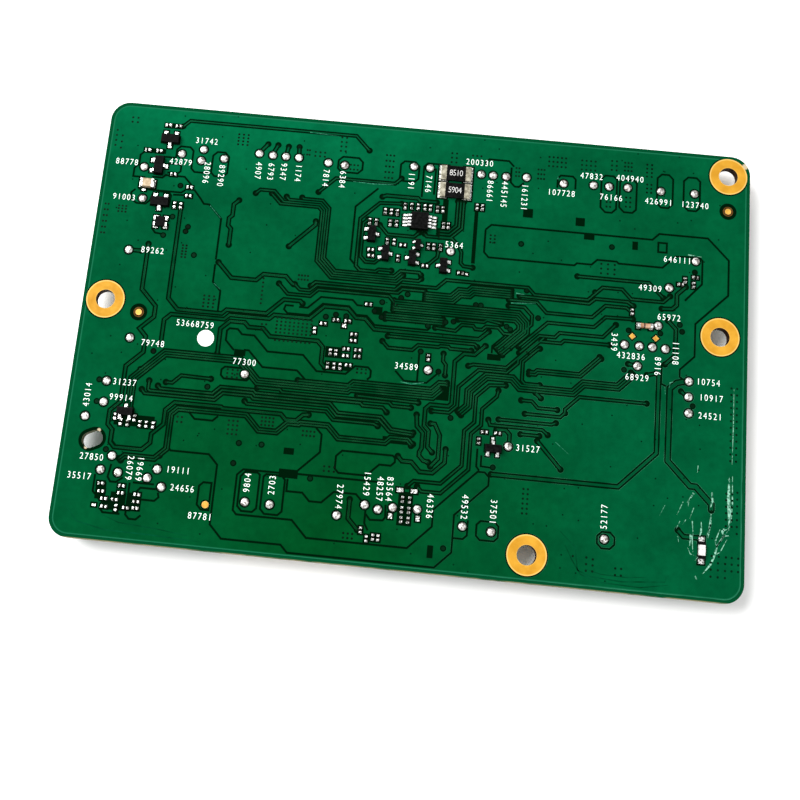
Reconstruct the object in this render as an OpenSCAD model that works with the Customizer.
// Main control board: a routed laminate with etched copper on both faces, plated mounting
// holes, small surface-mount parts on the face that looks up and the tall parts underneath.
// The board stands on its four connectors, with the solder side up.

/* [Board] */
// Length of the board, along X
board_l = 108; // [106:0.5:125]
// Width of the board, along Y
board_w = 72.5; // [72:0.5:90]
// Thickness of the laminate
laminate_t = 1.6; // [0.8:0.1:2.4]
// Radius of the board's corners
corner_r = 3.2; // [1:0.1:4]
// Thickness of the masked copper on each face
copper_t = 0.06; // [0.04:0.01:0.12]
// Bare border between the copper and the board's edge
border = 0.55; // [0.3:0.05:1]

/* [Mounting holes] */
// Diameter of the finished hole, a loose fit for an M3 screw
hole_d = 3.1; // [2.6:0.1:3.4]
// Diameter of the plated ring on each face
ring_d = 6.25; // [5.5:0.05:7]
// Wall of the plating inside the hole
plating_t = 0.2; // [0.18:0.01:0.3]
// How far the ring stands above the laminate
ring_h = 0.1; // [0.08:0.01:0.16]
// Bare gap between a ring and the copper round it
ring_gap = 0.2; // [0.1:0.05:0.4]
// Left hole's distance from the left edge
left_hole_in = 3.7; // [3.6:0.1:5]
// Left hole's distance above the board's middle
left_hole_y = 1.9; // [0:0.1:3]
// Right holes' distances from the right edge: the back one
back_hole_in = 3.65; // [3.6:0.05:4]
// Back right hole's distance from the back edge
back_hole_down = 3.6; // [3.5:0.1:4]
// Middle right hole's distance from the right edge
right_hole_in = 4.5; // [3.6:0.1:5]
// Middle right hole's distance above the board's middle
right_hole_y = 5.2; // [4:0.1:7]
// Front hole's distance from the front edge
front_hole_up = 4.3; // [3.6:0.1:5]
// Front hole's distance to the right of the board's middle
front_hole_x = 20.5; // [19:0.1:22]

/* [Tooling hole] */
// Length of the slotted tooling hole
tooling_l = 3.4; // [3:0.1:4]
// Width of the slotted tooling hole
tooling_w = 2.5; // [2:0.1:3]

/* [Copper pattern] */
// Width of a trace that runs in a bundle
fine_w = 0.2; // [0.15:0.01:0.25]
// Bare gap on each side of a bundled trace
fine_gap = 0.2; // [0.15:0.01:0.25]
// Width of a trace that runs alone
trace_w = 0.3; // [0.2:0.01:0.4]
// Bare gap on each side of a lone trace
trace_gap = 0.25; // [0.2:0.01:0.3]
// Width of the channels that part the copper areas
channel_w = 0.3; // [0.2:0.01:0.4]
// Radius of the pad at a trace's end
end_pad_r = 0.17; // [0.15:0.01:0.25]
// Radius of the copper over a lone via
via_r = 0.15; // [0.1:0.01:0.2]

/* [Test points] */
// Diameter of a test point's solder
point_d = 1.3; // [1:0.05:1.4]
// Height of the solder above the laminate
point_h = 0.35; // [0.2:0.05:0.5]
// Bare gap round a test point
point_gap = 0.22; // [0.14:0.01:0.26]

/* [Parts on the solder side] */
// Length of a small chip
chip_l = 0.86; // [0.7:0.02:1.2]
// Width of a small chip
chip_w = 0.38; // [0.3:0.02:0.6]
// Height of a small chip
chip_h = 0.4; // [0.3:0.05:0.6]
// Length of each soldered end of a small chip
chip_end = 0.24; // [0.2:0.02:0.35]
// Bare gap round a solder pad
pad_gap = 0.27; // [0.1:0.01:0.32]
// Length of a transistor body
transistor_l = 2.9; // [2.2:0.1:3]
// Width of a transistor body
transistor_w = 1.4; // [1:0.1:1.5]
// Height of a transistor body above the laminate
transistor_h = 1; // [0.8:0.05:1.2]
// Width and length of the gauge chip's body
gauge_size = 2.8; // [2.6:0.1:3.2]
// Height of the gauge chip above the laminate
gauge_h = 0.95; // [0.8:0.05:1.2]
// Spacing of the gauge chip's leads
gauge_pitch = 0.57; // [0.5:0.01:0.7]
// Leads on each side of the gauge chip
gauge_leads = 4; // [3:1:4]
// Length of a sense resistor
sense_l = 5; // [4.6:0.1:5.6]
// Width of a sense resistor
sense_w = 2.5; // [2:0.1:2.7]
// Height of a sense resistor
sense_h = 0.6; // [0.4:0.05:0.8]
// Length of a sense resistor's end cap
sense_cap = 0.9; // [0.7:0.05:1.3]

/* [Parts underneath] */
// Height of the four connectors, which the board stands on
connector_h = 4.4; // [4:0.1:6]
// Depth of a connector from its mouth to its back
connector_depth = 6; // [5:0.1:8]
// Wall of a connector's housing
connector_wall = 0.7; // [0.5:0.05:0.9]
// Spacing of a connector's contacts
contact_pitch = 1.5; // [1.25:0.25:2]
// Contacts in each side connector
side_contacts = 12; // [6:1:14]
// Contacts in each of the front and back connectors
end_contacts = 8; // [4:1:10]
// Width and length of the main processor's carrier
processor_size = 17; // [14:0.5:20]
// Thickness of the processor's carrier
carrier_t = 0.5; // [0.3:0.1:0.8]
// Thickness of the processor's moulding
mould_t = 0.8; // [0.6:0.1:1.2]
// Height of the solder balls under a chip
ball_h = 0.3; // [0.2:0.05:0.4]
// Spacing of the solder balls
ball_pitch = 1.3; // [1.2:0.1:2]
// Length of a memory chip
memory_l = 13; // [11:0.5:14]
// Width of a memory chip
memory_w = 8; // [7:0.5:10]
// Width and length of a power coil
coil_size = 6; // [5:0.1:7]
// Height of a power coil
coil_h = 3; // [2:0.1:3.6]
// Width and length of a power controller
controller_size = 4; // [3:0.1:5]
// Diameter of a capacitor's can
can_d = 5; // [4:0.1:6.3]
// Height of a capacitor from the laminate to its top
can_h = 4; // [3:0.1:4]

/* [Hidden] */

// The pattern is drawn for a board of this size, and on_board() spreads it over the real one
layout = [108, 72.5];
fn_round = 48;
fn_small = 24;
cut = 0.5;

// Heights, from the surface that the connectors stand on
board_z = connector_h;
top_z = board_z + laminate_t;

// Centres of the mounting holes: left, back right, middle right and front
hole_left = [-board_l / 2 + left_hole_in, left_hole_y];
hole_back = [board_l / 2 - back_hole_in, board_w / 2 - back_hole_down];
hole_right = [board_l / 2 - right_hole_in, right_hole_y];
hole_front = [front_hole_x, -board_w / 2 + front_hole_up];
holes = [hole_left, hole_back, hole_right, hole_front];

// Centre and turn of the slotted tooling hole
tooling_at = [-board_l / 2 + 5, on_board([0, -20.8]).y];
tooling_turn = 25;
tooling_gap = 0.5;

// Alignment dots: centre, radius of the gold dot and of its bare ring
dots = [hole_left + [5.7, -1.65], hole_back + [0.05, -6.1]];
dot_r = 0.5;
dot_ring_r = 0.85;
dot_clear_r = 1.4;

// Bare gold pads: centre and turn
gold_pads = [[35.4, 4.0, 45], [39.2, 4.0, 45]];
gold_pad_size = 0.75;
gold_point = [-29.9, -29.2];
gold_point_r = 0.54;

// Copper bundles: count, pitch and the route of the first trace. The rest lie to its left,
// or to its right where the pitch is negative.
bus_pitch = fine_w + fine_gap;
bundles = [
    [5, bus_pitch, [[-3.4, 4.6], [16.4, 4.6], [17, 4], [17, 3.4], [13.6, 0]]],
    [4, bus_pitch, [[1.6, 6.7], [6.2, 6.7], [7.4, 7.9], [8.9, 7.9], [9.5, 8.5], [15.5, 8.5]]],
    [3, bus_pitch, [[-4.6, 3], [4.8, 3]]],
    [3, bus_pitch, [[8.8, -11.4], [10.2, -10], [10.2, -7.6], [12.6, -5.2], [16.4, -5.2], [17.7, -6.5],
        [26.5, -6.5], [28.1, -4.9], [33.6, -4.9], [36, -2.5]]],
    [3, bus_pitch, [[-43.6, -15.4], [-43.6, -10.8], [-39.2, -6.4], [-27.4, -6.4], [-24.2, -9.6],
        [-9.4, -9.6], [-9.05, -9.25], [4.2, -9.25], [5.6, -7.85]]],
    [2, -bus_pitch, [[-17.6, -8.35], [-9.5, -8.35], [-8.8, -7.65], [3.7, -7.65], [4.9, -6.45], [6.2, -6.45]]],
    [2, -bus_pitch, [[-44.3, -23.4], [-43.6, -22.7], [-38.9, -22.7], [-37.3, -21.1], [-37.3, -15.6], [-36.2, -14.5], [-25.1, -14.5], [-22.9, -16.7],
        [-20.2, -16.7], [-18.6, -15.1], [-16.8, -15.1], [-16.6, -14.9], [-12, -14.9], [-10.2, -16.7],
        [-2.9, -16.7], [-2.1, -15.9], [0.8, -15.9], [1.6, -16.7]]],
    [2, bus_pitch, [[19.2, -3.8], [20.2, -3.8], [20.6, -3.4], [27.4, -3.4], [30.6, -0.2]]],
    [3, 0.5, [[5.7, 24], [5.7, 19.8], [4.5, 18.6], [3, 18.6]]],
];

// Fine traces that have a pad at each end
fine_routes = [
    [[-41.6, 32.8], [-40.5, 33.9], [-12.2, 33.9], [-9.8, 31.5]],
    [[-25.3, 22.4], [-23.7, 20.8], [-17.3, 20.8], [-16.7, 20.2], [-16.7, 11.6], [-14.1, 9], [-3.2, 9],
        [-2.4, 9.8], [0.3, 9.8], [0.7, 10.2]],
    [[-28, 22.2], [-27.3, 22.9], [-24.9, 22.9], [-23.2, 21.2], [-17.1, 21.2], [-16.3, 20.4],
        [-16.3, 11.8], [-13.9, 9.4], [-3.4, 9.4], [-2.3, 10.5]],
    [[-22.8, 22.1], [-22.3, 21.6], [-16.95, 21.6], [-15.9, 20.55], [-15.9, 12], [-13.7, 9.8], [-3.6, 9.8],
        [-2.6, 10.8]],
    [[-20.2, 22.2], [-19.9, 22], [-16.75, 22], [-15.5, 20.75], [-15.5, 12.2], [-13.5, 10.2], [-3.8, 10.2],
        [-2.8, 11.2], [0.3, 11.2], [0.6, 10.8]],
    [[-17.6, 23.4], [-14.9, 26.1], [-5, 26.1], [-4, 27.1]],
    [[-17.2, 7.3], [-16.5, 8], [-3.4, 8], [-2.5, 8.9], [3.3, 8.9], [4.8, 10.4], [18.2, 10.4], [19.3, 9.3],
        [28, 9.3], [30.3, 11.6], [33.5, 11.6], [35, 10.1], [40.2, 10.1], [41.3, 11.2]],
    [[-22.4, 7.2], [-20.8, 5.6], [-17.1, 5.6], [-15.9, 6.8], [-4.3, 6.8], [-2.9, 5.4]],
    [[-19.8, 7.3], [-18.9, 6.5], [-17.3, 6.5], [-16.2, 7.5], [-2.9, 7.5], [-2.2, 8.2], [1.4, 8.2]],
    [[15.2, 7.1], [17.8, 7.1], [19.1, 5.8], [19.1, 4.3], [14.9, 0.1]],
    [[16.9, 8.9], [28.2, 8.7], [29.2, 9.6], [34.4, 9.6], [35.4, 9]],
    [[15.2, 8.1], [19.8, 8.1], [21.4, 6.5], [28.8, 6.5], [30.9, 8.6], [34.3, 8.6], [35.2, 7.9]],
    [[17.2, 0.5], [21.7, 4.9], [29.2, 4.9], [31, 6.7], [35.4, 6.8]],
    [[17.4, -0.5], [20.5, 2.6], [23, 2.6], [23.7, 3.4], [30.7, 3.4], [32.7, 5.6]],
    [[18.6, -0.2], [20.6, 1.7], [24, 1.7], [24.5, 2.2], [31.8, 2.2]],
    [[26.1, 13.1], [37.8, 13.1], [40.2, 10.8]],
    [[-6.4, 13], [-7.2, 12.2], [-8.7, 12.2], [-9.6, 13.1], [-9.6, 18.8], [-8.9, 19.5]],
    [[-4.3, 11.1], [-6.4, 11.1], [-6.9, 10.7], [-9.5, 10.7], [-10.2, 11.4], [-10.2, 19.5], [-7.2, 22.5],
        [-3.6, 22.7]],
    [[-6.9, 18.7], [-5.5, 17.2], [-1.1, 17.2], [-0.3, 18]],
    [[0.6, 17.9], [1, 17.5], [5.2, 17.5], [6.4, 16.3], [6.9, 15.3], [6.9, 13.5], [7.4, 13], [8.9, 12.9]],
    [[3.1, 15.2], [3, 14.1], [1.5, 12.6]],
    [[3.6, 2.3], [6.9, 2.1], [7.9, 3.2], [9.7, 3.2], [10.1, 2.7], [11.2, 2.7], [11.8, 3.3], [13.8, 3.3], [14.7, 2.4],
        [16.2, 2.4]],
    [[7.2, 4], [11.4, 4], [11.9, 4.4], [14.2, 4]],
    [[-3.9, 0.2], [10.2, 0.2], [10.6, -0.2]],
    [[-4.7, -0.7], [-3.7, -1.7], [0.2, -1.7], [1.1, -0.8], [4.4, -0.8], [4.7, -0.6], [6, -0.6], [6.3, -0.9],
        [9.7, -0.9]],
    [[5.3, -1.8], [5.3, -3], [5.8, -3.6], [5.8, -5.3]],
    [[9.4, -3.4], [10.2, -3.1], [15.5, -3.1], [20.4, 1.8]],
    [[4.1, -11.2], [6.9, -11.2], [8.1, -10], [8.1, -6.9], [11.1, -3.9], [15.6, -3.9], [17.3, -2.2],
        [17.3, -1.6], [21.3, 2.4]],
    [[15.6, -6], [13, -6.2], [11, -8.2], [11, -12.3], [9.5, -13.8], [9.5, -19.3], [6.4, -22.4],
        [2.2, -22.4], [1.3, -23.3]],
    [[14.5, -6.9], [14.3, -7.9], [12.1, -10.1], [12.1, -12.7], [10.6, -14.2], [10.6, -19.8], [6.5, -23.9],
        [3.5, -23.9], [2.8, -23.2]],
    [[20.7, 0.5], [20.3, 0.3], [18.1, -1.9], [18.1, -4.9], [18.6, -5.4], [21, -5.4]],
    [[18.2, -8.1], [19.9, -8.1], [20.9, -9.1], [24, -9.1]],
    [[18.9, -10.2], [24.5, -10.2], [25.2, -9.5], [25.2, -8.9], [27.4, -6.7], [38.1, -6.7]],
    [[14.8, -11.5], [23.2, -11.5], [23.9, -11.2]],
    [[13.2, -11.7], [13.5, -12.5], [21.8, -12.5], [22.7, -13.2]],
    [[18.4, -13.5], [21.4, -13.5]],
    [[-23.9, -10.1], [-20.3, -10.1], [-19.9, -10.5], [-2.7, -10.5], [-2.2, -11], [0.8, -11]],
    [[-7.9, -9.9], [1.9, -10.1]],
    [[-38.6, -10.7], [-37.6, -10.7], [-36.3, -9.4], [-31.5, -9.5]],
    [[-39.8, -11.4], [-39.4, -11.8], [-31, -11.8], [-29.8, -10.6], [-24.5, -10.6], [-24.1, -11],
        [-7.3, -11], [-6.9, -11.4], [-3.7, -11.4], [-3, -12.1]],
    [[-41.3, -10.7], [-41.3, -12.1], [-41, -12.3], [-30.7, -12.3], [-29.5, -11.1], [-24.6, -11.1],
        [-24.2, -11.5], [-12.1, -11.5], [-10.7, -12.9], [-3.8, -12.9], [-2, -14.7], [1.5, -14.9]],
    [[-42.3, -12.2], [-41.8, -12.8], [-30.5, -12.8], [-29.3, -11.6], [-24.8, -11.6], [-24.4, -12],
        [-12.3, -12], [-10.9, -13.4], [-4.1, -13.4], [-2.3, -15.1], [1.3, -15.3]],
    [[-25.7, -12.5], [-25.3, -12.9], [-12.6, -12.9], [-11.4, -14.1], [-4.9, -14.1], [-4.2, -14.4]],
];

// Lone traces, with a pad at each end
lone_routes = [
    [[-44.6, 11.8], [-44.6, 4.1], [-42, 1.5], [-42, -0.3], [-44.1, -2.4], [-42.9, -3.6], [-42.9, -6.2],
        [-45.4, -8.7], [-45.4, -14.5], [-46.9, -16], [-46.9, -18.2], [-46.1, -19], [-46.1, -21],
        [-45.4, -21.7], [-41, -21.7], [-39.8, -20.5], [-39.8, -19.1], [-38.1, -17.4], [-38.1, -15.1],
        [-36.8, -13.8], [-29.3, -13.8], [-29.1, -14], [-19.7, -14], [-18.9, -14.8], [-17.2, -14.8],
        [-16.2, -13.8], [-15.3, -13.7]],
    [[-40.1, 18.6], [-40.1, 3], [-38.4, 1.3], [-31.1, 1.3], [-30.4, 2], [-23.9, 2], [-21.3, 4.6],
        [-18.6, 4.6], [-18.2, 4.2]],
    [[-40.3, -4.6], [-40.3, -0.6], [-39.3, 0.4], [-30.6, 0.4], [-29.8, 1.2], [-23.3, 1.2], [-22.6, 1.9],
        [-16.8, 1.9], [-14.6, 4.1], [-10.7, 4.1], [-9.3, 2.7], [-7.8, 2.7], [-6.2, 1.1], [10.8, 1.1],
        [12.3, 2.5]],
    [[-32.7, 9.8], [-30.3, 7.4], [-26.2, 7.4], [-25.1, 8.5], [-21.4, 8.5], [-20.3, 7.4], [-20, 7.3]],
    [[-30.6, 20.7], [-31.4, 19.9], [-31.4, 18], [-31.9, 17.5], [-31.9, 16.2], [-31.4, 15.7],
        [-31.4, 12.9]],
    [[-17.5, 18.3], [-17.5, 17.7], [-21.5, 13.6]],
    [[-28.3, 29.2], [-26.9, 31]],
    [[-26, 29.2], [-25.2, 31]],
    [[-23.7, 29.2], [-23.4, 30.9]],
    [[-21.5, 29.2], [-21.6, 31]],
    [[-6.9, 23.6], [-6.2, 23.9], [-1, 23.9], [-0.6, 23.5], [2.2, 23.5]],
    [[11.9, 0.1], [10.3, -1.5], [8.6, -1.5], [7.2, -2.9], [7.2, -9.7], [6.7, -10.2], [3.8, -10.2],
        [3.1, -10.9], [3.1, -13.6], [3.9, -14.4], [3.9, -16.9], [4.7, -17.7]],
    [[4.1, -13.2], [4.8, -13.2], [5.7, -14.9], [5.7, -18.6], [4.6, -19.9]],
    [[6.8, -17], [6.8, -19.1], [5, -20.9], [3, -20.9], [1.6, -19.5], [0.1, -19.5], [-0.6, -18.8]],
    [[1.8, -12], [2, -13.8], [3, -14.8], [3, -17.2], [2.7, -17.8], [2.7, -18.4], [3.4, -19.1],
        [4.2, -19.3]],
    [[-31, -5.3], [-31, -1.2], [-29.6, 0.2], [-27.2, 0.2], [-26.5, -0.5], [-24.1, -0.5], [-22.9, -1.7],
        [-15.1, -1.7], [-14.2, -2.6], [-14.2, -5.2], [-13.5, -5.9]],
    [[-45.6, 10.5], [-47.7, 10.5]],
    [[21.1, -14.3], [25, -18.4]],
    [[14.6, -13.1], [16.1, -13.1], [16.7, -13.7], [16.7, -15.5]],
    [[21.3, -7.5], [20.4, -6.7]],
    [[41.1, 7.1], [42.4, 5.8], [42.4, 1.5], [40.8, -0.1]],
    [[43.8, 13], [42.4, 11.6], [42.4, 9.8], [41.7, 9.1], [40, 9]],
    [[34.9, -0.6], [36.4, -0.8]],
    [[38, -2.1], [39.4, -1.7]],
    [[43.5, -4.2], [44.5, -5]],
    [[-7.5, -26.2], [-7.5, -29.1], [-5.9, -30.7]],
];

// Wide traces: width and route
wide_routes = [
    [0.4, [[14.2, -20.2], [34.1, -20.2], [39.9, -14.4], [39.9, -1.9]]],
    [0.6, [[44.4, -2.5], [42.8, -2.9], [41.7, -3.9], [41.7, -15.4], [45.3, -19], [46.2, -19],
        [48.7, -21.5], [48.7, -22.4]]],
    [0.4, [[43.6, -25.9], [44.5, -26.8], [47, -26.8]]],
];

// Open channels between copper areas
channels = [
    [[-47.4, 27.8], [-48.1, 27.1], [-48.1, 25.4], [-48.8, 24.7], [-48.8, 23.2], [-46.8, 23.2]],
    [[-45, 27.1], [-42.1, 27.1], [-42.1, 28.6], [-41.5, 29.2], [-39.9, 29.2], [-39.3, 28.6],
        [-39.3, 25.5], [-38.7, 24.9], [-36, 24.9]],
    [[-45.6, 23.4], [-43.9, 23.4], [-43.4, 23.9], [-40.2, 23.9], [-38.8, 22.5]],
    [[-47.6, 21.1], [-40.4, 21.1], [-39.8, 21.6]],
    [[-43.3, 26], [-41.3, 26], [-41, 25.7], [-41, 24.8], [-41.4, 24.4], [-43.2, 24.4]],
    [[-45, 20.9], [-45.4, 19.3], [-46.1, 18.6], [-47.6, 18.6], [-48.7, 19.3], [-48.7, 20.4], [-48.1, 21]],
    [[-44.6, 21], [-42.4, 20.9], [-42, 20.4], [-42.2, 19], [-42.9, 18.2]],
    [[-41.7, 20.6], [-39.9, 20.7]],
    [[-44.4, 16], [-44.4, 14.5], [-43.8, 13.8], [-42.8, 13.7]],
    [[-35.2, 19.2], [-33.2, 17.2], [-33.2, 10.2]],
    [[-33.2, 9.4], [-33.2, 6.4], [-31.8, 5], [-31.8, 1.6]],
    [[-4.3, 27.1], [-4.3, 29.6], [-3.7, 30.2], [-1.9, 30.2], [-1.2, 29.5], [-1.2, 27.3], [-1.8, 26.7],
        [-3.8, 26.7]],
    [[-7.7, 25], [-11.2, 21.5], [-11.2, 12.4], [-9.3, 10.5]],
    [[2.6, 30.2], [0.2, 30.2], [-0.4, 29.6], [-0.4, 24.2]],
    [[1.6, 29.4], [1.6, 24.8]],
    [[9.7, 31.1], [10.4, 31.9], [13.7, 31.9], [14.6, 31]],
    [[14.2, 30.8], [14.2, 28.2], [14.9, 27.5], [15.6, 27.5], [16.4, 28.3]],
    [[22, 28], [22, 29.7], [22.5, 30.2], [24.5, 30.2], [25, 29.7], [25, 28]],
    [[10.6, 19.6], [10.6, 15.7], [11.4, 14.9], [25.5, 14.9], [25.9, 15.3], [28.3, 15.3], [29.2, 16.2],
        [32.4, 16.2], [32.7, 15.9], [39.9, 15.9], [42, 18], [45.9, 18.2], [46.4, 17.7], [46.4, 13.7],
        [43.7, 10.7]],
    [[10.6, 19.6], [11.5, 20.5], [38.1, 20.5], [39.2, 21.6], [47.2, 21.6], [50.7, 18.1], [50.7, 12.2],
        [45.5, 7], [45.5, 1.6], [43.2, -0.7], [43.2, -1.9], [44, -2.4]],
    [[-18.7, 3.6], [-17.3, 3.6], [-15.3, 5.6], [-10.1, 5.6], [-9.3, 4.8], [-8.4, 4.8]],
    [[-19.6, 3.7], [-20.9, 3.7], [-21.1, 3], [-20.5, 2.4], [-17, 2.4], [-14.9, 4.5], [-10.6, 4.5],
        [-9.3, 3.2], [-7.6, 3.2], [-6.2, 1.8], [2.4, 1.8], [2.9, 2.3]],
    [[-28.4, -4.5], [-29.9, -3], [-29.9, -1.4], [-29.5, -1], [-28.2, -1], [-27.4, -1.8], [-25.4, -1.8],
        [-23, -4.2], [-17.2, -4.2], [-14.8, -6.6], [-10.1, -6.6], [-8.7, -5.2], [-6.6, -5.2],
        [-6.1, -5.7], [-6.1, -6.7], [-6.6, -7.2]],
    [[-26.8, -4.3], [-26, -4.3], [-23.5, -6.8], [-17.9, -6.8], [-16.4, -8.2]],
    [[1.4, -2], [1.4, -6.7]],
    [[-2.2, -5.3], [-0.7, -6.8], [2.9, -6.8], [4.6, -5.1]],
    [[-34.3, -15.1], [-33.3, -16.1], [-30.4, -16.1], [-29.6, -15.3]],
    [[-13.9, -15.6], [-12.9, -16.6], [-12.9, -19.4], [-16.2, -22.7]],
    [[-36.9, -20.9], [-36.4, -21.4], [-30.3, -21.4], [-28.8, -22.9], [-28.8, -32.1], [-26.8, -34.1],
        [-17.5, -34.1], [-16.4, -35.2], [6.4, -35.2], [8.9, -32.7], [8.9, -27], [13.9, -22],
        [13.9, -20.7], [13.2, -20], [12.1, -20], [5.6, -26.5], [5.6, -29.1], [2, -32.7], [-13.7, -32.7],
        [-16.2, -30.2], [-24.9, -30.2], [-25.5, -29.6], [-25.5, -24.1], [-24.6, -23.2], [-18.8, -23.2]],
    [[8.9, -30.5], [10.5, -30.5], [11.1, -29.9], [11.1, -27.6]],
    [[-17.5, -24], [-17.5, -25.9], [-15, -25.9], [-13.8, -27.1], [-11.9, -27.1], [-10.1, -25.3],
        [-6.6, -25.3], [-5.5, -26.4]],
    [[-16.4, -23.1], [-3.2, -23.1]],
    [[-41.6, -26.9], [-38.3, -26.9]],
    [[-40.9, -28.3], [-40.3, -27.6], [-37.9, -27.6]],
    [[-37.5, -28.1], [-37.3, -28.8], [-37.9, -29.4], [-40, -29.4]],
    [[-47.7, -26.2], [-47.7, -28.8], [-46.3, -30.2]],
    [[-46.3, -31.2], [-45.7, -31.9], [-43, -31.9]],
    [[-42.1, -27], [-42.1, -31.9], [-41.5, -32.5], [-40.4, -32.5], [-39.7, -31.8]],
    [[-45.4, -24.4], [-45.7, -26.4], [-45.2, -27.1], [-44.3, -27.1], [-43.3, -26.3]],
    [[-45.8, -18.8], [-45.8, -20.8], [-45.2, -21.4]],
    [[11.8, -16.4], [11.8, -19.2], [12.3, -19.8]],
    [[12.5, -17.4], [12.5, -19.1], [14.2, -19.2]],
    [[-38.3, 21.8], [-37, 20.3], [-36.4, 19.5], [-35.5, 19.5], [-33.2, 17.2]],
    [[-4.9, -27.6], [-4.9, -29.6], [-4.3, -30.6]],
    [[-4.8, -28.2], [-4.1, -29], [-2.1, -28.9], [-1.75, -28.4], [-1.85, -26.5]],
    [[40.3, 0], [40.3, -3.3], [41.1, -3.6]],
    [[13, -1], [13, 0.2], [14.9, 2.1]],
];

// Closed channels round a copper island, each drawn clockwise
islands = [
    [[-35.9, 25.1], [-35.9, 28.1], [-35.2, 28.8], [-33.9, 28.8], [-33.2, 28.1], [-33.2, 25.2],
        [-33.9, 24.5], [-35.3, 24.5]],
    [[-14.8, 27.9], [-14.8, 29.3], [-14.1, 30], [-11.4, 30], [-10.7, 29.3], [-10.7, 28],
        [-11.4, 27.3], [-14.2, 27.3]],
    [[29.3, 25.3], [29.3, 30.3], [29.9, 30.9], [31.3, 30.9], [31.9, 30.3], [31.9, 25.2],
        [31.2, 24.5], [30.1, 24.5]],
    [[32.4, 25.6], [32.4, 30], [32.9, 30.5], [34.7, 30.5], [35.2, 30], [35.2, 25.4], [34.6, 24.8],
        [33.2, 24.8]],
    [[38.6, 26.9], [38.6, 31.3], [39.3, 32], [40.5, 32], [41.2, 31.3], [41.2, 26.9], [40.5, 26.2],
        [39.3, 26.2]],
    [[43, 26.9], [43, 31.2], [43.7, 31.9], [45.1, 31.9], [45.7, 31.3], [45.7, 26.7], [45.1, 26.1],
        [43.8, 26.1]],
    [[-30, -8.7], [-30, -7.8], [-29.5, -7.3], [-25.9, -7.3], [-25.2, -8], [-25.2, -8.6],
        [-25.8, -9.2], [-29.5, -9.2]],
    [[-24.9, -24.3], [-24.2, -23.5], [-22.3, -23.5], [-21.9, -23.8], [-21.9, -29], [-22.5, -29.6],
        [-24.2, -29.6], [-24.9, -28.9]],
    [[-21.3, -24], [-20.9, -23.6], [-18.5, -23.6], [-17.9, -24.2], [-17.9, -29.1], [-18.5, -29.7],
        [-20.6, -29.7], [-21.3, -29]],
    [[-9.4, -18.8], [-1.4, -18.8], [-1, -19.2], [-1, -19.8], [-1.6, -20.4], [-3.4, -20.4],
        [-5.3, -22.3], [-9.7, -22.3], [-10.3, -21.7], [-10.3, -19.7]],
    [[-31.2, -26.4], [-30.6, -25.8], [-29.3, -25.8], [-29.3, -30], [-30.5, -30], [-31.2, -29.3]],
    [[12.5, -28.1], [13.1, -27.5], [15.3, -27.5], [15.9, -28.1], [15.9, -29.8], [15.3, -30.4],
        [13.1, -30.4], [12.5, -29.8]],
    [[39.1, 18.5], [39.1, 20.1], [40.5, 20.1], [40.5, 18.5]],
    [[31.2, -28], [31.9, -27.3], [33.2, -27.3], [33.9, -28], [33.9, -29.1], [33.2, -29.8],
        [31.9, -29.8], [31.2, -29.1]],
];

// Windows with no copper: centre and size
windows = [
    [17.4, 23.1, 1.6, 1.5], [26.1, 22.4, 1.5, 1.4], [27.7, 20, 1.7, 1], [35.3, 19.2, 0.9, 1.4],
    [8.9, 18.3, 0.6, 9.4], [3.7, 21.9, 0.9, 4.4], [-27.4, -4.8, 1.8, 1], [13.4, -1.6, 2.2, 1],
    [-17.5, -23.2, 3, 1.35], [5.6, -32.9, 0.9, 1.9], [-17.8, -19.7, 1.6, 1],
    [-43.2, 32.7, 3.2, 0.9], [-45.7, 28, 3.6, 0.8], [1.2, -26.8, 2.3, 5.2],
    [-41, -29.9, 2, 2.8], [-43.6, -30, 2.4, 2.8], [-46.5, -28.6, 1.6, 2.6], [-45.5, -30.6, 1.4, 1.4],
    [-5.9, 4.2, 1.5, 1.3], [5.5, -8.1, 2.3, 2.5], [-1.2, -16.4, 4.1, 1.05],
    [-42.8, -17.3, 6.4, 1.8], [-12.4, -3.3, 2.6, 1.8], [-11.5, -5.5, 4.2, 1.2],
];

// Vias that stand clear of the copper round them
lone_vias = [
    [-40.7, 22.3], [-41.3, 16.8], [-42.4, 13.5], [-38.5, 15.3], [-38.8, 14.5], [-36.9, 10.6],
    [16.6, 17.7], [31.5, 18.6], [-22.2, -19.1], [-25.8, -19.2], [-26.3, -22.4], [-43, -9],
    [-41.3, -5.9], [-49.3, -11.3], [-49.2, -14.8], [-14, -23.6], [7.6, -32.2], [43.4, 5.5], [43, 6.6],
    [45.2, 15.6], [34.8, 4.9], [39.9, 4.9], [45.4, -6.4], [12, 0.1], [15.9, 0.1], [20.1, 5.5],
    [9.9, 6.7], [10.7, 6.7], [-2.3, 6.7], [-1.3, 7.4], [-5.3, 5.7], [-6.4, 4.1], [-5.2, 3.2],
    [2.4, 2.5], [6.5, 3.6], [5.2, 3.4], [29.1, 10.7], [15.1, 3.6], [15.7, 3.2], [17.6, 5.4],
    [1.6, -1.8], [4.7, -4.8], [7.2, -12], [-31.9, -10.8], [-38, -22.4], [-46.6, -22.2],
    [-14.2, 2.4], [-12.6, 2.9], [-10.9, 2.8], [34.3, -1.6], [18, 9.9], [25.3, -9.5], [14.4, -19.1],
];

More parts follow.
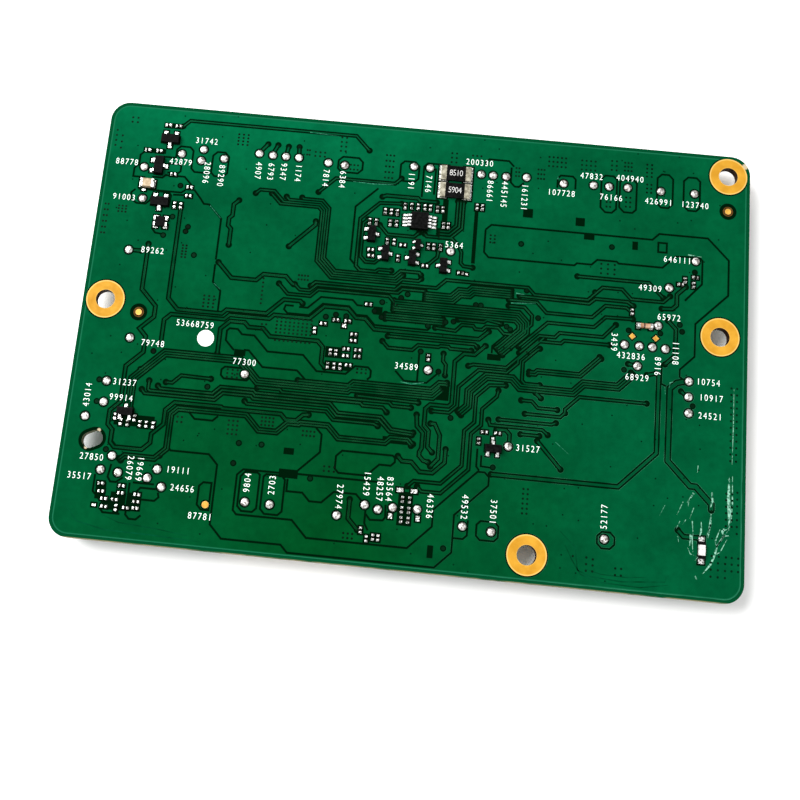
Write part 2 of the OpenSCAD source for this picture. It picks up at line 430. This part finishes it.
// Test points on the solder side
test_points = [
    [-37.6, 29], [-37.8, 27], [-34, 27.7], [-41.2, 27.9], [-47.2, 25], [-46.7, 19.5], [-47.7, 10.5],
    [-28.2, 29.2], [-25.9, 29.1], [-23.7, 29.1], [-21.5, 29.1], [-16.5, 28.7], [-13.7, 28.5],
    [-2.1, 29.4], [0.6, 29.4], [9.2, 29.1], [11.2, 29.1], [13.4, 29.1], [16.8, 29.3], [23, 28.8],
    [28, 29], [30.6, 29], [33.7, 29.1], [39.2, 29], [44.8, 29.1], [5.1, 15.3], [45.3, 17.5],
    [41.1, 12.6], [39.5, 6.1], [34.2, 2.5], [36.6, 2.5], [38.7, 2.5], [40.8, 2.4], [36.4, -0.8],
    [44.7, -2.5], [44.7, -5], [44.8, -7.6], [-45.4, -4.1], [-48.1, -11.4], [-48.1, -14.8],
    [-50.7, -17.3], [-45.5, -23.1], [-47, -25.4], [-44.2, -25.6], [-38.1, -24.5], [-39.5, -26],
    [-37.1, -27.2], [-26.2, -8.2], [3, -4.7], [-23.8, -28.2], [-19.9, -28.2], [-9.3, -28.8],
    [-5.1, -26.8], [-3, -27.3], [-0.7, -26.8], [3.1, -26.7], [10.3, -28.6], [14.8, -29], [16.6, -15.6],
    [32.3, -28.4],
];

// Small chips: centre and turn, 0 along X and 90 along Y
chips = [
    [-44.05, 32.7, 0], [-42.35, 32.7, 0], [-46.95, 28, 0], [-45, 28, 0], [-41.2, 18.8, 90],
    [-40.15, 18.8, 90], [-3, 22.3, 90], [-1.9, 22.4, 90], [-0.8, 22.4, 90], [0.3, 22.4, 90],
    [1.2, 22.4, 90], [2.4, 22.3, 90], [3.3, 22.3, 90], [-6.2, 21.1, 90], [-5.2, 21.1, 90], [-8.6, 19.1, 90], [-7.5, 19.1, 90],
    [-4.2, 21.1, 90], [-5.2, 19.2, 90], [-4.2, 19.2, 90], [3.6, 19.6, 90], [4.4, 19.6, 90],
    [-5.4, 16, 90], [-4.3, 16, 90], [-2.8, 15.6, 0], [-8, 14.3, 0], [-7.9, 13.3, 0], [-3.4, 13.3, 90],
    [1.1, 12.4, 0], [1.4, 15.8, 90], [2.3, 15.8, 90], [3.4, 15.8, 90], [7, 11.8, 0], [8.9, 23.3, 90],
    [9.8, 23.3, 90], [-14.5, 1.2, 0], [-12.5, 2, 0], [-10.6, 2, 0], [-15.8, 0, 90], [-9.4, -0.1, 0],
    [-9.4, -1.1, 0], [-8.5, -2.6, 0], [-8.5, -3.6, 0], [-12.9, -3.3, 90], [-12, -3.3, 90],
    [-10.4, -2.6, 0], [-10.4, -3.7, 0], [-13.1, -5.5, 90], [-12.1, -5.5, 90], [-11.1, -5.5, 90],
    [-9.8, -5.2, 0], [-7.5, 5.1, 0], [-44.9, -17.7, 90], [-43.8, -17.7, 90], [-41.8, -17.7, 90],
    [-40.8, -17.7, 90], [-39.7, -17.7, 90], [-45.9, -16.9, 90], [-42.8, -16.9, 90],
    [-46.6, -27.5, 0], [-46.4, -28.7, 0], [-43.3, -27.6, 0], [-43.3, -28.7, 0], [-45.8, -29.8, 0],
    [-44.1, -29.8, 0], [-40.7, -28.7, 0], [-40.7, -29.8, 0], [-40.7, -30.8, 0], [-45.6, -31, 0],
    [-43.7, -31, 90], [-42.2, -30.9, 0], [12.7, -13.7, 0], [14.8, -13.7, 0], [11.9, -15.2, 90],
    [-5.4, -30.7, 90], [-4.4, -31.9, 90], [-3.4, -31.6, 90], [-2.6, -31.6, 90], [0.7, -25.4, 90],
    [1.8, -25.4, 90], [0.7, -27, 90], [1.8, -27, 90], [0.7, -28.5, 90], [1.8, -28.5, 90],
    [2.9, -2.7, 90], [43.6, 14.1, 90], [42.9, 13.3, 0], [45.3, 14.7, 0], [45, 13.4, 90],
    [35.2, 8, 90], [-42.1, 24.1, 0], [-39.1, 22.1, 0], [-39.1, 20.6, 0],
];

// Transistors: centre, turn and size factor. The two leads lie on the side that turn 0 calls back.
transistors = [
    [-43.4, 30.2, 0], [-44.7, 25.4, 90], [-43.7, 19.1, 0], [-8.1, 17, 90, 0.85], [-5.6, 13.9, 90, 0.8],
    [-1.1, 13.5, 270, 0.8], [4.1, 12.7, 270, 0.8], [-0.35, 15.8, 90, 0.6], [14.2, -16.2, 180, 0.85],
    [-44.4, -16, 180, 0.85],
];

// Loose solder pads with nothing fitted: centre and size
loose_pads = [
    [0.2, -24, 1, 0.6], [2.4, -24, 1, 0.6], [-1, -28.1, 0.6, 0.8], [3.3, -28.1, 0.6, 0.8],
    [-11.1, 1.2, 0.6, 0.6], [-47.2, -30.9, 0.6, 0.35], [14.1, -14.8, 0.4, 0.8], [-46.7, 21, 0.6, 0.3],
    [8, 11.7, 0.4, 0.3],
];

gauge_at = on_board([-0.4, 19.9]);
sense_back_at = on_board([5, 28.7]);
sense_front_at = on_board([5, 25.7]);
filter_at = on_board([-43.1, 15.7]);
fuse_at = on_board([-46.2, 22.1]);
lamp_at = on_board([47.3, -28.6]);
capsule_at = on_board([37.3, 5.8]);

// Solder and mask levels over the laminate
pad_h = 0.12;
part_z = top_z + pad_h;
seat_z = board_z - copper_t;
gold_h = 0.08;

// Pads on the solder side: size and reach from the centre of each part
chip_pad = [0.34, 0.43];
chip_reach = 0.34;
lead_pad = [0.62, 0.6];
lead_reach = 1.15;
lead_step = 0.9;
lead_w = 0.42;
gauge_pad = [0.8, 0.34];
gauge_reach = 2.4;
gauge_lead_w = 0.3;
sense_pad = [1.45, 2.7];
sense_reach = 2.05;
filter_l = 2.2;
filter_w = 1.6;
filter_h = 0.7;
filter_pad = [0.7, 0.6];
filter_step = [0.8, 0.75];
fuse_l = 2.3;
fuse_w = 1.4;
fuse_h = 0.9;
fuse_cap = 0.4;
fuse_pad = [0.75, 1.35];
lamp_l = 2.6;
lamp_w = 1;
lamp_h = 0.6;
lamp_cap = 0.5;
lamp_pad = [0.9, 0.9];
lamp_reach = 1.6;
capsule_l = 2.5;
capsule_r = 0.45;
capsule_cap = 0.45;
capsule_pad = [0.5, 0.95];
lead_t = 0.15;
lead_lift = 0.1;

// Bare gap round a lone via and round a trace's end pad, in trace gaps
lone_via_gap = 1.4;
end_pad_gap = 1.46;

// Parts underneath: centres
processor_at = on_board([-18, 0]);
memory_left_at = on_board([-36, 0]);
memory_right_at = on_board([2, 0]);
coils = [[-38, 24], [26, 26], [35, 26]];
controllers = [[-29, 24], [26, 17], [35, 17]];
cans = [[-12, 22], [16, -12], [25, -12], [34, -12]];
crystal_at = on_board([16, 8]);
coil_foot = 1.6;
foot_t = 0.15;
controller_h = 0.8;
controller_pad = 0.9;
can_base = 5.4;
can_base_h = 0.8;
can_foot = [2.6, 0.7];
crystal_l = 3.2;
crystal_w = 2.5;
crystal_h = 0.7;
memory_h = 0.8;
memory_pitch = 1.6;
ball_r = 0.3;
ball_rows = floor(processor_size / ball_pitch) - 1;

// Connectors underneath: inset from the board edge, and place along it
connector_in = 1;
connector_left_y = 17;
connector_right_y = -14;
connector_front_x = -16;
connector_back_x = 8;
end_l = end_contacts * contact_pitch + 2 * connector_wall;
side_l = side_contacts * contact_pitch + 2 * connector_wall;
contact_w = 0.5;
contact_t = 0.3;
contact_in = 0.8;
contact_tail = 1;
contact_foot = 0.9;

// The front coil stands clear of the front connector's end, with its controller behind it
coil_clearance = 1.3;
controller_clearance = 1.5;
front_coil_at = [
    connector_front_x - side_l / 2 - coil_clearance - coil_size / 2,
    on_board([0, -26]).y,
];
front_controller_at = front_coil_at + [0, (coil_size + controller_size) / 2 + controller_clearance];
coil_places = concat(route(coils), [front_coil_at]);
controller_places = concat(route(controllers), [front_controller_at]);

function on_board(p) = [p.x * board_l / layout.x, p.y * board_w / layout.y];
function route(p) = [for (q = p) on_board(q)];
function unit(v) = v / norm(v);
function side(a, b) = let (d = unit(b - a)) [-d.y, d.x];
function mitre(a, b) = (a + b) / (1 + a * b);

// A route moved sideways by d, and the closed outline of a trace of width w along it
function shifted(p, d) = [for (i = [0:len(p) - 1]) let (
    a = side(p[max(i - 1, 0)], p[max(i, 1)]),
    b = i == len(p) - 1 ? a : side(p[i], p[i + 1])) p[i] + d * mitre(a, b)];
function back(p) = [for (i = [len(p) - 1:-1:0]) p[i]];
function ribbon(p, w) = concat(shifted(p, w / 2), back(shifted(p, -w / 2)));

// A closed outline moved inwards or outwards by d
function loop_shifted(p, d) = [for (i = [0:len(p) - 1]) let (
    a = side(p[(i + len(p) - 1) % len(p)], p[i]),
    b = side(p[i], p[(i + 1) % len(p)])) p[i] + d * mitre(a, b)];

// A rectangle with round corners, centred
module rounded(l, w, r) {
    square([l - 2 * r, w], center = true);
    square([l, w - 2 * r], center = true);
    for (x = [-1, 1], y = [-1, 1])
        translate([x * (l / 2 - r), y * (w / 2 - r)])
            circle(r, $fn = fn_round);
}

// A slot with round ends, centred and lying along X
module slot(l, w) {
    square([l - w, w], center = true);
    for (x = [-1, 1])
        translate([x * (l - w) / 2, 0])
            circle(w / 2, $fn = fn_round);
}

// Children at each place of a list: centre, then the turn and the size factor where they are given
module at_each(places) {
    for (p = places)
        translate(on_board(p))
            rotate(len(p) > 2 ? p[2] : 0)
                scale(len(p) > 3 ? p[3] : 1)
                    children();
}

// Every trace of the pattern, grown by g on each side and round its end pads
module trace_shapes(g) {
    for (b = bundles, i = [0:b[0] - 1])
        trace_shape(shifted(route(b[2]), i * b[1]), fine_w, g);
    for (p = fine_routes)
        trace_shape(route(p), fine_w, g);
    for (p = lone_routes)
        trace_shape(route(p), trace_w, g);
    for (r = wide_routes)
        trace_shape(route(r[1]), r[0], g);
    at_each(lone_vias)
        circle(via_r + lone_via_gap * g, $fn = 12);
}

module trace_shape(p, w, g) {
    polygon(ribbon(p, w + 2 * g));
    for (e = [p[0], p[len(p) - 1]])
        translate(e)
            circle(end_pad_r + end_pad_gap * g, $fn = 12);
}

// Solder pads of every part on the solder side, grown by g
module pad_shapes(g) {
    at_each(chips)
        for (x = [-1, 1])
            translate([x * chip_reach, 0])
                square([chip_pad.x + 2 * g, chip_pad.y + 2 * g], center = true);
    at_each(transistors) {
        for (x = [-1, 1])
            translate([x * lead_step, lead_reach])
                square([lead_pad.x + 2 * g, lead_pad.y + 2 * g], center = true);
        translate([0, -lead_reach])
            square([lead_pad.x + 2 * g, lead_pad.y + 2 * g], center = true);
    }
    translate(gauge_at)
        for (x = [-1, 1], i = [0:gauge_leads - 1])
            translate([x * gauge_reach, (i - (gauge_leads - 1) / 2) * gauge_pitch])
                square([gauge_pad.x + 2 * g, gauge_pad.y + 2 * min(g, 0.05)], center = true);
    for (p = [sense_back_at, sense_front_at], x = [-1, 1])
        translate([p.x + x * sense_reach, p.y])
            square([sense_pad.x + 2 * g, sense_pad.y + 2 * g], center = true);
    for (x = [-1, 1], y = [-1, 1])
        translate(filter_at + [x * filter_step.x, y * filter_step.y])
            square([filter_pad.x + 2 * g, filter_pad.y + 2 * g], center = true);
    for (x = [-1, 1])
        translate(fuse_at + [x * (fuse_l - fuse_cap) / 2, 0])
            square([fuse_pad.x + 2 * g, fuse_pad.y + 2 * g], center = true);
    for (y = [-1, 1])
        translate(lamp_at + [0, y * lamp_reach])
            square([lamp_pad.x + 2 * g, lamp_pad.y + 2 * g], center = true);
    for (x = [-1, 1])
        translate(capsule_at + [x * (capsule_l - capsule_cap) / 2, 0])
            square([capsule_pad.x + 2 * g, capsule_pad.y + 2 * g], center = true);
    for (p = loose_pads)
        translate(on_board(p))
            square([p[2] + 2 * g, p[3] + 2 * g], center = true);
}

module laminate_board() {
    color("darkgreen")
        translate([0, 0, board_z])
            linear_extrude(laminate_t)
                difference() {
                    rounded(board_l, board_w, corner_r);
                    for (h = holes)
                        translate(h)
                            circle(hole_d / 2 + plating_t, $fn = fn_round);
                    translate(tooling_at)
                        rotate(tooling_turn)
                            slot(tooling_l, tooling_w);
                }
}

// Copper area with a gap round every trace, pad, ring and test point
module copper_pour() {
    color("seagreen")
        translate([0, 0, top_z])
            linear_extrude(copper_t)
                difference() {
                    rounded(board_l - 2 * border, board_w - 2 * border, corner_r - border);
                    for (h = holes)
                        translate(h)
                            circle(ring_d / 2 + ring_gap, $fn = fn_round);
                    translate(tooling_at)
                        rotate(tooling_turn)
                            slot(tooling_l + 2 * tooling_gap, tooling_w + 2 * tooling_gap);
                    for (d = dots)
                        translate(d)
                            circle(dot_clear_r, $fn = fn_small);
                    at_each(test_points)
                        circle(point_d / 2 + point_gap, $fn = fn_small);
                    at_each([gold_point])
                        circle(gold_point_r + point_gap, $fn = fn_small);
                    at_each(gold_pads)
                        square(gold_pad_size + 2 * point_gap, center = true);
                    trace_shapes(trace_gap);
                    pad_shapes(pad_gap);
                    for (p = channels)
                        polygon(ribbon(route(p), channel_w));
                    for (p = islands)
                        difference() {
                            polygon(loop_shifted(route(p), channel_w / 2));
                            polygon(loop_shifted(route(p), -channel_w / 2));
                        }
                    for (w = windows)
                        translate(on_board(w))
                            square([w[2], w[3]], center = true);
                }
}

module copper_traces() {
    color("mediumseagreen")
        translate([0, 0, top_z])
            linear_extrude(copper_t)
                difference() {
                    trace_shapes(0);
                    pad_shapes(0);
                    at_each(test_points)
                        circle(point_d / 2, $fn = fn_small);
                }
}

// Copper on the component side, clear of the rings
module underside_copper() {
    color("seagreen")
        translate([0, 0, seat_z])
            linear_extrude(copper_t)
                difference() {
                    rounded(board_l - 2 * border, board_w - 2 * border, corner_r - border);
                    for (h = holes)
                        translate(h)
                            circle(ring_d / 2 + ring_gap, $fn = fn_round);
                    translate(tooling_at)
                        rotate(tooling_turn)
                            slot(tooling_l + 2 * tooling_gap, tooling_w + 2 * tooling_gap);
                }
}

// Plated barrel through the board, with a ring on each face
module mounting_ring(h) {
    r = hole_d / 2;
    translate([h.x, h.y, board_z])
        rotate_extrude($fn = fn_round)
            polygon([
                [r, -ring_h], [ring_d / 2, -ring_h], [ring_d / 2, 0], [r + plating_t, 0],
                [r + plating_t, laminate_t], [ring_d / 2, laminate_t],
                [ring_d / 2, laminate_t + ring_h], [r, laminate_t + ring_h],
            ]);
}

module mounting_ring_left() {
    color("goldenrod")
        mounting_ring(hole_left);
}

module mounting_ring_back() {
    color("goldenrod")
        mounting_ring(hole_back);
}

module mounting_ring_right() {
    color("goldenrod")
        mounting_ring(hole_right);
}

module mounting_ring_front() {
    color("goldenrod")
        mounting_ring(hole_front);
}

module alignment_dots() {
    color("gold")
        translate([0, 0, top_z])
            linear_extrude(gold_h)
                for (d = dots)
                    translate(d)
                        circle(dot_r, $fn = fn_small);
}

module bare_test_pads() {
    color("gold")
        translate([0, 0, top_z])
            linear_extrude(gold_h) {
                at_each(gold_pads)
                    square(gold_pad_size, center = true);
                at_each([gold_point])
                    circle(gold_point_r, $fn = fn_small);
            }
}

// Solder domes on the test points
module test_point_solder() {
    r = point_d / 2;
    color("silver")
        translate([0, 0, top_z])
            at_each(test_points)
                rotate_extrude($fn = fn_small)
                    polygon([
                        [0, 0], [r, 0], [0.95 * r, 0.4 * point_h], [0.75 * r, 0.75 * point_h],
                        [0.4 * r, 0.96 * point_h], [0, point_h],
                    ]);
}

module solder_pads() {
    color("silver")
        translate([0, 0, top_z])
            linear_extrude(pad_h)
                pad_shapes(0);
}

module small_chip_bodies() {
    color("tan")
        translate([0, 0, part_z])
            linear_extrude(chip_h - 0.03)
                at_each(chips)
                    square([chip_l - 2 * chip_end, chip_w - 0.04], center = true);
}

module small_chip_ends() {
    color("silver")
        translate([0, 0, part_z])
            linear_extrude(chip_h)
                at_each(chips)
                    for (x = [-1, 1])
                        translate([x * (chip_l - chip_end) / 2, 0])
                            square([chip_end, chip_w], center = true);
}

module transistor_bodies() {
    color("dimgray")
        translate([0, 0, part_z + lead_lift])
            linear_extrude(transistor_h - lead_lift)
                at_each(transistors)
                    square([transistor_l, transistor_w], center = true);
}

// A bent lead that leaves a body at x = 0 at height z and comes down to a foot at x = reach
module bent_lead(reach, z, w) {
    rotate([90, 0, 0])
        linear_extrude(w, center = true)
            polygon([
                [0, z], [reach * 0.3, z], [reach * 0.5, 0], [reach, 0], [reach, lead_t],
                [reach * 0.5 + lead_t, lead_t], [reach * 0.3 + lead_t, z + lead_t], [0, z + lead_t],
            ]);
}

module transistor_leads() {
    reach = lead_reach - transistor_w / 2 + lead_pad.y / 3;
    color("silver")
        translate([0, 0, part_z])
            at_each(transistors) {
                for (x = [-1, 1])
                    translate([x * lead_step, transistor_w / 2, 0])
                        rotate(90)
                            bent_lead(reach, transistor_h * 0.4, lead_w);
                translate([0, -transistor_w / 2, 0])
                    rotate(-90)
                        bent_lead(reach, transistor_h * 0.4, lead_w);
            }
}

module gauge_chip_body() {
    color("dimgray")
        translate([gauge_at.x, gauge_at.y, part_z + lead_lift])
            linear_extrude(gauge_h - lead_lift)
                square(gauge_size, center = true);
}

module gauge_chip_leads() {
    reach = gauge_reach + gauge_pad.x / 3 - gauge_size / 2;
    color("silver")
        translate([gauge_at.x, gauge_at.y, part_z])
            for (turn = [0, 180], i = [0:gauge_leads - 1])
                rotate(turn)
                    translate([gauge_size / 2, (i - (gauge_leads - 1) / 2) * gauge_pitch, 0])
                        bent_lead(reach, gauge_h * 0.45, gauge_lead_w);
}

module sense_resistor(p) {
    translate([p.x, p.y, part_z])
        linear_extrude(sense_h)
            square([sense_l - 2 * sense_cap, sense_w], center = true);
}

module sense_resistor_back() {
    color("dimgray")
        sense_resistor(sense_back_at);
}

module sense_resistor_front() {
    color("dimgray")
        sense_resistor(sense_front_at);
}

module sense_resistor_caps() {
    color("silver")
        translate([0, 0, part_z])
            linear_extrude(sense_h + 0.03)
                for (p = [sense_back_at, sense_front_at], x = [-1, 1])
                    translate([p.x + x * (sense_l - sense_cap) / 2, p.y])
                        square([sense_cap, sense_w], center = true);
}

module filter_chip_body() {
    color("dimgray")
        translate([filter_at.x, filter_at.y, part_z])
            linear_extrude(filter_h)
                square([filter_l - 2 * chip_end, filter_w], center = true);
}

module filter_chip_ends() {
    color("silver")
        translate([filter_at.x, filter_at.y, part_z])
            linear_extrude(filter_h)
                for (x = [-1, 1], y = [-1, 1])
                    translate([x * (filter_l - chip_end) / 2, y * filter_step.y / 1.5])
                        square([chip_end, filter_pad.y], center = true);
}

module fuse_chip_body() {
    color("tan")
        translate([fuse_at.x, fuse_at.y, part_z])
            linear_extrude(fuse_h)
                square([fuse_l - 2 * fuse_cap, fuse_w], center = true);
}

module fuse_chip_ends() {
    color("silver")
        translate([fuse_at.x, fuse_at.y, part_z])
            linear_extrude(fuse_h)
                for (x = [-1, 1])
                    translate([x * (fuse_l - fuse_cap) / 2, 0])
                        square([fuse_cap, fuse_w], center = true);
}

module lamp_chip_body() {
    color("white")
        translate([lamp_at.x, lamp_at.y, part_z])
            linear_extrude(lamp_h)
                square([lamp_w, lamp_l - 2 * lamp_cap], center = true);
}

module lamp_chip_ends() {
    color("silver")
        translate([lamp_at.x, lamp_at.y, part_z])
            linear_extrude(lamp_h * 0.6)
                for (y = [-1, 1])
                    translate([0, y * (lamp_l - lamp_cap) / 2])
                        square([lamp_w, lamp_cap], center = true);
}

module capsule_core() {
    l = capsule_l - 2 * capsule_cap;
    color("sandybrown")
        translate([capsule_at.x - l / 2, capsule_at.y, part_z + capsule_r])
            rotate([0, 90, 0])
                cylinder(l, capsule_r - 0.03, capsule_r - 0.03, $fn = fn_small);
}

module capsule_ends() {
    color("silver")
        for (x = [-capsule_l / 2, capsule_l / 2 - capsule_cap])
            translate([capsule_at.x + x, capsule_at.y, part_z + capsule_r])
                rotate([0, 90, 0])
                    cylinder(capsule_cap, capsule_r, capsule_r, $fn = fn_small);
}

// Solder balls of a square or oblong grid array, under the board
module ball_grid(columns, rows, pitch) {
    translate([0, 0, seat_z - ball_h])
        linear_extrude(ball_h)
            for (i = [0:columns - 1], j = [0:rows - 1])
                translate([(i - (columns - 1) / 2) * pitch, (j - (rows - 1) / 2) * pitch])
                    circle(ball_r, $fn = fn_small);
}

module processor_carrier() {
    color("darkgreen")
        translate([processor_at.x, processor_at.y, seat_z - ball_h - carrier_t])
            linear_extrude(carrier_t)
                square(processor_size, center = true);
}

module processor_mould() {
    color("dimgray")
        translate([processor_at.x, processor_at.y, seat_z - ball_h - carrier_t - mould_t])
            linear_extrude(mould_t)
                rounded(processor_size - 2 * cut, processor_size - 2 * cut, cut);
}

module processor_balls() {
    color("silver")
        translate(processor_at)
            ball_grid(ball_rows, ball_rows, ball_pitch);
}

module memory_chip(p) {
    translate([p.x, p.y, seat_z - ball_h - memory_h])
        linear_extrude(memory_h)
            square([memory_w, memory_l], center = true);
}

module memory_chip_left() {
    color("dimgray")
        memory_chip(memory_left_at);
}

module memory_chip_right() {
    color("dimgray")
        memory_chip(memory_right_at);
}

module memory_balls() {
    color("silver")
        for (p = [memory_left_at, memory_right_at])
            translate(p)
                ball_grid(floor(memory_w / memory_pitch), floor(memory_l / memory_pitch), memory_pitch);
}

module power_coil_cores() {
    color("gray")
        for (p = coil_places)
            translate(p)
                translate([0, 0, seat_z - foot_t - coil_h])
                    linear_extrude(coil_h)
                        rounded(coil_size, coil_size, corner_r / 4);
}

module power_coil_ends() {
    color("silver")
        for (p = coil_places)
            translate(p)
                for (x = [-1, 1])
                    translate([x * (coil_size - coil_foot) / 2, 0, seat_z - foot_t])
                        linear_extrude(foot_t)
                            square([coil_foot, coil_size * 0.6], center = true);
}

module power_controllers() {
    color("dimgray")
        for (p = controller_places)
            translate(p)
                translate([0, 0, seat_z - foot_t - controller_h])
                    linear_extrude(controller_h)
                        square(controller_size, center = true);
}

module controller_pads() {
    color("silver")
        for (p = controller_places)
            translate(p)
                translate([0, 0, seat_z - foot_t])
                    linear_extrude(foot_t) {
                        square(controller_size / 2, center = true);
                        for (turn = [0:90:270], i = [-1.5:1.5])
                            rotate(turn)
                                translate([controller_size / 2 - 0.25, i * controller_pad / 1.2])
                                    square([controller_pad / 2, 0.3], center = true);
                    }
}

module capacitor_bases() {
    color("dimgray")
        at_each(cans)
            translate([0, 0, seat_z - foot_t - can_base_h])
                linear_extrude(can_base_h)
                    square(can_base, center = true);
}

module capacitor_cans() {
    color("lightgray")
        at_each(cans)
            translate([0, 0, seat_z - foot_t - can_h])
                cylinder(can_h - can_base_h, can_d / 2, can_d / 2, $fn = fn_round);
}

module capacitor_feet() {
    color("silver")
        at_each(cans)
            for (x = [-1, 1])
                translate([x * can_base / 2, 0, seat_z - foot_t])
                    linear_extrude(foot_t)
                        square(can_foot, center = true);
}

module crystal_can() {
    color("lightgray")
        translate([crystal_at.x, crystal_at.y, seat_z - foot_t - crystal_h])
            linear_extrude(crystal_h)
                rounded(crystal_l, crystal_w, cut);
}

module crystal_feet() {
    color("gold")
        translate([crystal_at.x, crystal_at.y, seat_z - foot_t])
            linear_extrude(foot_t)
                for (x = [-1, 1], y = [-1, 1])
                    translate([x * crystal_l / 3, y * crystal_w / 3])
                        square([crystal_l / 4, crystal_w / 4], center = true);
}

// Connector housing of length l with its mouth on the line y = 0, standing on z = 0
module connector(l, count) {
    inner_h = seat_z - 2 * connector_wall;
    difference() {
        translate([-l / 2, -connector_depth, 0])
            cube([l, connector_depth, seat_z]);
        translate([-l / 2 + connector_wall, connector_wall - connector_depth, connector_wall])
            cube([l - 2 * connector_wall, connector_depth, inner_h]);
        contacts(count);
    }
}

// Contacts in a row: each runs through the rear wall and turns up to a foot on the board
module contacts(count) {
    mid = seat_z / 2;
    rear = -connector_depth - contact_tail;
    for (i = [0:count - 1])
        translate([(i - (count - 1) / 2) * contact_pitch, 0, 0])
            rotate([90, 0, 90])
                linear_extrude(contact_w, center = true)
                    polygon([
                        [-contact_in, mid], [-contact_in, mid + contact_t],
                        [rear + contact_t, mid + contact_t], [rear + contact_t, seat_z],
                        [rear - contact_foot, seat_z], [rear - contact_foot, seat_z - contact_t],
                        [rear, seat_z - contact_t], [rear, mid],
                    ]);
}

// Children placed at one edge of the board, with +Y turned outwards
module at_left_edge() {
    translate([-board_l / 2 + connector_in, connector_left_y, 0])
        rotate(90)
            children();
}

module at_right_edge() {
    translate([board_l / 2 - connector_in, connector_right_y, 0])
        rotate(-90)
            children();
}

module at_front_edge() {
    translate([connector_front_x, -board_w / 2 + connector_in, 0])
        rotate(180)
            children();
}

module at_back_edge() {
    translate([connector_back_x, board_w / 2 - connector_in, 0])
        children();
}

module connector_left() {
    color("ivory")
        at_left_edge()
            connector(end_l, end_contacts);
}

module connector_right() {
    color("ivory")
        at_right_edge()
            connector(end_l, end_contacts);
}

module connector_front() {
    color("ivory")
        at_front_edge()
            connector(side_l, side_contacts);
}

module connector_back() {
    color("ivory")
        at_back_edge()
            connector(side_l, side_contacts);
}

module contacts_left() {
    color("gold")
        at_left_edge()
            contacts(end_contacts);
}

module contacts_right() {
    color("gold")
        at_right_edge()
            contacts(end_contacts);
}

module contacts_front() {
    color("gold")
        at_front_edge()
            contacts(side_contacts);
}

module contacts_back() {
    color("gold")
        at_back_edge()
            contacts(side_contacts);
}

laminate_board();
copper_pour();
copper_traces();
underside_copper();
mounting_ring_left();
mounting_ring_back();
mounting_ring_right();
mounting_ring_front();
alignment_dots();
bare_test_pads();
test_point_solder();
solder_pads();
small_chip_bodies();
small_chip_ends();
transistor_bodies();
transistor_leads();
gauge_chip_body();
gauge_chip_leads();
sense_resistor_back();
sense_resistor_front();
sense_resistor_caps();
filter_chip_body();
filter_chip_ends();
fuse_chip_body();
fuse_chip_ends();
lamp_chip_body();
lamp_chip_ends();
capsule_core();
capsule_ends();
processor_carrier();
processor_mould();
processor_balls();
memory_chip_left();
memory_chip_right();
memory_balls();
power_coil_cores();
power_coil_ends();
power_controllers();
controller_pads();
capacitor_bases();
capacitor_cans();
capacitor_feet();
crystal_can();
crystal_feet();
connector_left();
connector_right();
connector_front();
connector_back();
contacts_left();
contacts_right();
contacts_front();
contacts_back();
